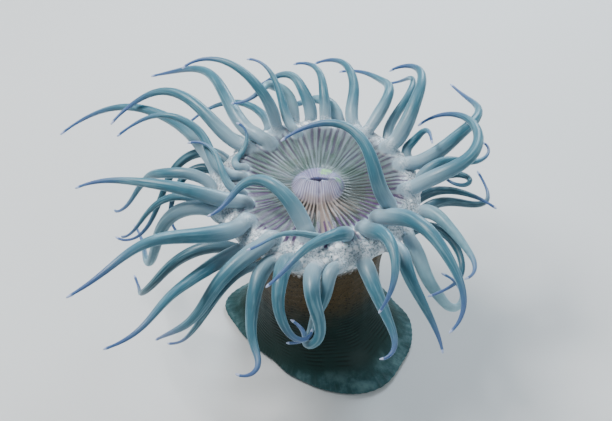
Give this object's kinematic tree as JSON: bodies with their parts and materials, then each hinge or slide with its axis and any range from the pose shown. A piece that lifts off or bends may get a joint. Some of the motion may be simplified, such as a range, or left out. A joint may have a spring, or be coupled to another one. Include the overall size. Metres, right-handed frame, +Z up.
{
  "type": "sea anemone",
  "caption": "Life-size still model of an open sea anemone: flaring foot, round column, warty collar, oral disc with lips, and long tapering tentacles.",
  "frame": {"origin": "middle of the sole, on the floor", "axes": "+Z up through the mouth, -Y towards the side where the foot spreads furthest, +X to that side's right"},
  "size_m": [0.1094, 0.0999, 0.0683],
  "materials": {
    "foot_flesh": "moist soft flesh",
    "column_flesh": "moist soft flesh with small spots",
    "collar_flesh": "moist pale warty flesh",
    "disc_flesh": "moist translucent flesh with radial lines",
    "lip_flesh": "moist translucent flesh",
    "tentacle_flesh": "translucent flesh, paler at the edges, blue and violet at the tips"
  },
  "bodies": {
    "root": {"foot": "foot_flesh", "column_lower": "column_flesh", "column_upper": "column_flesh", "collar": "collar_flesh", "oral_disc": "disc_flesh", "mouth": "lip_flesh", "tentacle_01": "tentacle_flesh", "tentacle_02": "tentacle_flesh", "tentacle_03": "tentacle_flesh", "tentacle_04": "tentacle_flesh", "tentacle_05": "tentacle_flesh", "tentacle_06": "tentacle_flesh", "tentacle_07": "tentacle_flesh", "tentacle_08": "tentacle_flesh", "tentacle_09": "tentacle_flesh", "tentacle_10": "tentacle_flesh", "tentacle_11": "tentacle_flesh", "tentacle_12": "tentacle_flesh", "tentacle_13": "tentacle_flesh", "tentacle_14": "tentacle_flesh", "tentacle_15": "tentacle_flesh", "tentacle_16": "tentacle_flesh", "tentacle_17": "tentacle_flesh", "tentacle_18": "tentacle_flesh", "tentacle_19": "tentacle_flesh", "tentacle_20": "tentacle_flesh", "tentacle_21": "tentacle_flesh", "tentacle_22": "tentacle_flesh", "tentacle_23": "tentacle_flesh", "tentacle_24": "tentacle_flesh", "tentacle_25": "tentacle_flesh", "tentacle_26": "tentacle_flesh", "tentacle_27": "tentacle_flesh", "tentacle_28": "tentacle_flesh", "tentacle_29": "tentacle_flesh", "tentacle_30": "tentacle_flesh", "tentacle_31": "tentacle_flesh", "tentacle_32": "tentacle_flesh", "tentacle_33": "tentacle_flesh", "tentacle_34": "tentacle_flesh", "tentacle_35": "tentacle_flesh", "tentacle_36": "tentacle_flesh", "tentacle_37": "tentacle_flesh", "tentacle_38": "tentacle_flesh", "tentacle_39": "tentacle_flesh", "tentacle_40": "tentacle_flesh", "tentacle_41": "tentacle_flesh", "tentacle_42": "tentacle_flesh", "tentacle_43": "tentacle_flesh", "tentacle_44": "tentacle_flesh", "tentacle_45": "tentacle_flesh", "tentacle_46": "tentacle_flesh", "tentacle_47": "tentacle_flesh", "tentacle_48": "tentacle_flesh", "tentacle_49": "tentacle_flesh", "tentacle_50": "tentacle_flesh", "tentacle_51": "tentacle_flesh"}
  },
  "joints": []
}
